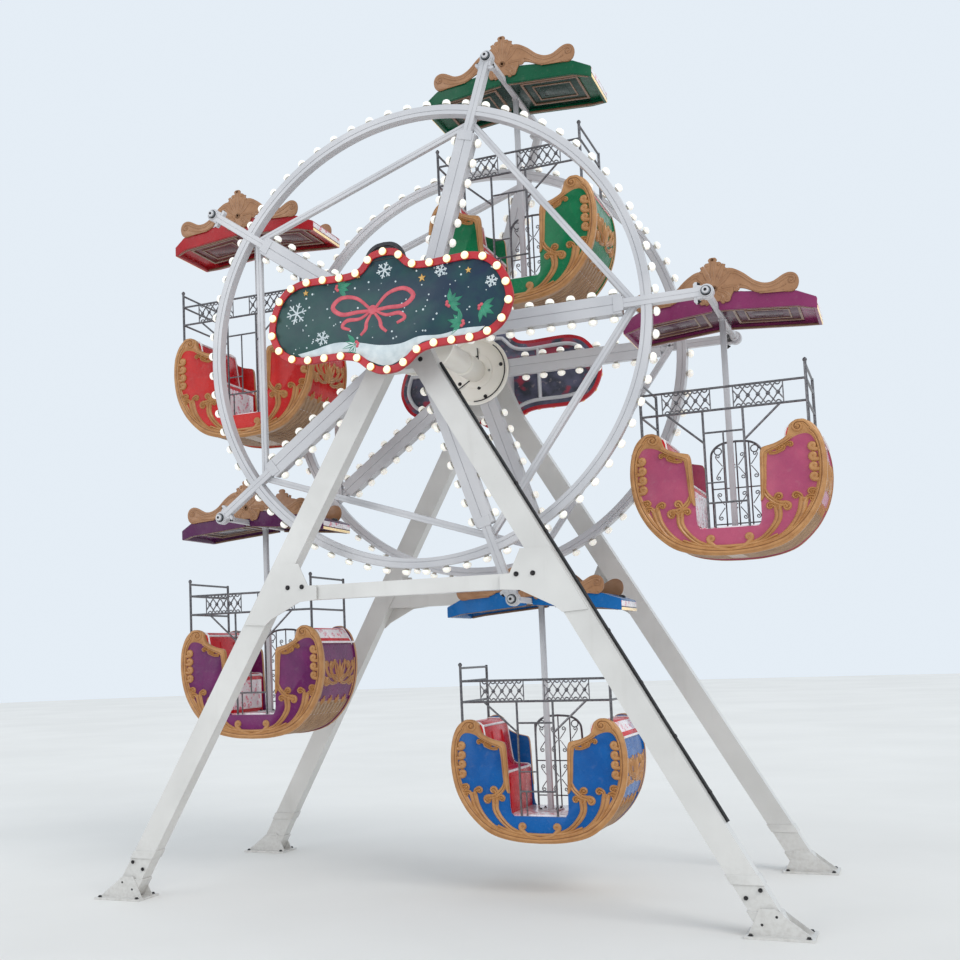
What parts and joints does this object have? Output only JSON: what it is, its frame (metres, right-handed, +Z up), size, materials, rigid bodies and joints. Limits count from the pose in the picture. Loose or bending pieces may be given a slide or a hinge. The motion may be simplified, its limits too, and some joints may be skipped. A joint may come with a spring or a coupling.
{
  "type": "ferris wheel",
  "caption": "Small fairground ferris wheel: twin spoked wheels with lamps between two A-frames, carrying hanging scroll-edged cabins that stay level as it turns.",
  "frame": {"origin": "middle of the overall box, on the ground", "axes": "+X to the right seen from the front, +Y from the front to the back along the wheel axis, +Z up"},
  "size_m": [5.325, 2.68, 6.4683],
  "materials": {
    "white_paint": "glossy white paint",
    "shaft_steel": "pale grey paint",
    "sign_board": "red painted sheet, satin",
    "seat_shell": "moulded fibreglass, glossy red with white edges",
    "rail_steel": "polished steel bar, a little dulled",
    "cabin_green": "moulded fibreglass, glossy green with gold ornament",
    "cabin_red": "moulded fibreglass, glossy red with gold ornament",
    "cabin_purple": "moulded fibreglass, glossy purple with gold ornament",
    "cabin_blue": "moulded fibreglass, glossy blue with gold ornament",
    "cabin_plum": "moulded fibreglass, glossy plum with gold ornament"
  },
  "bodies": {
    "frame": {"leg_front_left": "white_paint", "leg_front_right": "white_paint", "crossbeam_front": "white_paint", "head_front": "white_paint", "sign_front": "sign_board", "leg_back_left": "white_paint", "leg_back_right": "white_paint", "crossbeam_back": "white_paint", "head_back": "white_paint", "sign_back": "sign_board"},
    "wheel": {"main_shaft": "shaft_steel", "hub_front": "white_paint", "ring_front": "white_paint", "braces_front": "white_paint", "arm_front_1": "white_paint", "arm_front_2": "white_paint", "arm_front_3": "white_paint", "arm_front_4": "white_paint", "arm_front_5": "white_paint", "hub_back": "white_paint", "ring_back": "white_paint", "braces_back": "white_paint", "arm_back_1": "white_paint", "arm_back_2": "white_paint", "arm_back_3": "white_paint", "arm_back_4": "white_paint", "arm_back_5": "white_paint"},
    "cabin_1": {"cabin_1_hanger": "white_paint", "cabin_1_roof": "cabin_green", "cabin_1_tub": "cabin_green", "cabin_1_seats": "seat_shell", "cabin_1_guard": "rail_steel", "cabin_1_gate": "rail_steel"},
    "cabin_2": {"cabin_2_hanger": "white_paint", "cabin_2_roof": "cabin_red", "cabin_2_tub": "cabin_red", "cabin_2_seats": "seat_shell", "cabin_2_guard": "rail_steel", "cabin_2_gate": "rail_steel"},
    "cabin_3": {"cabin_3_hanger": "white_paint", "cabin_3_roof": "cabin_purple", "cabin_3_tub": "cabin_purple", "cabin_3_seats": "seat_shell", "cabin_3_guard": "rail_steel", "cabin_3_gate": "rail_steel"},
    "cabin_4": {"cabin_4_hanger": "white_paint", "cabin_4_roof": "cabin_blue", "cabin_4_tub": "cabin_blue", "cabin_4_seats": "seat_shell", "cabin_4_guard": "rail_steel", "cabin_4_gate": "rail_steel"},
    "cabin_5": {"cabin_5_hanger": "white_paint", "cabin_5_roof": "cabin_plum", "cabin_5_tub": "cabin_plum", "cabin_5_seats": "seat_shell", "cabin_5_guard": "rail_steel", "cabin_5_gate": "rail_steel"}
  },
  "joints": [
    {"name": "wheel_spin", "type": "hinge", "parent": "frame", "child": "wheel", "pos_m": [-0.1025, 0, 4.124], "axis": [0, 1, 0], "continuous": true},
    {"name": "cabin_1_swing", "type": "hinge", "parent": "wheel", "child": "cabin_1", "pos_m": [0.54295, 0, 6.12235], "axis": [0, 1, 0], "continuous": true},
    {"name": "cabin_2_swing", "type": "hinge", "parent": "wheel", "child": "cabin_2", "pos_m": [-1.80359, 0, 5.35538], "axis": [0, 1, 0], "continuous": true},
    {"name": "cabin_3_swing", "type": "hinge", "parent": "wheel", "child": "cabin_3", "pos_m": [-1.79928, 0, 2.88669], "axis": [0, 1, 0], "continuous": true},
    {"name": "cabin_4_swing", "type": "hinge", "parent": "wheel", "child": "cabin_4", "pos_m": [0.54992, 0, 2.12792], "axis": [0, 1, 0], "continuous": true},
    {"name": "cabin_5_swing", "type": "hinge", "parent": "wheel", "child": "cabin_5", "pos_m": [1.9975, 0, 4.12767], "axis": [0, 1, 0], "continuous": true}
  ],
  "couplings": [
    {"joint": "cabin_1_swing", "follows": "wheel_spin", "ratio": -1},
    {"joint": "cabin_2_swing", "follows": "wheel_spin", "ratio": -1},
    {"joint": "cabin_3_swing", "follows": "wheel_spin", "ratio": -1},
    {"joint": "cabin_4_swing", "follows": "wheel_spin", "ratio": -1},
    {"joint": "cabin_5_swing", "follows": "wheel_spin", "ratio": -1}
  ]
}
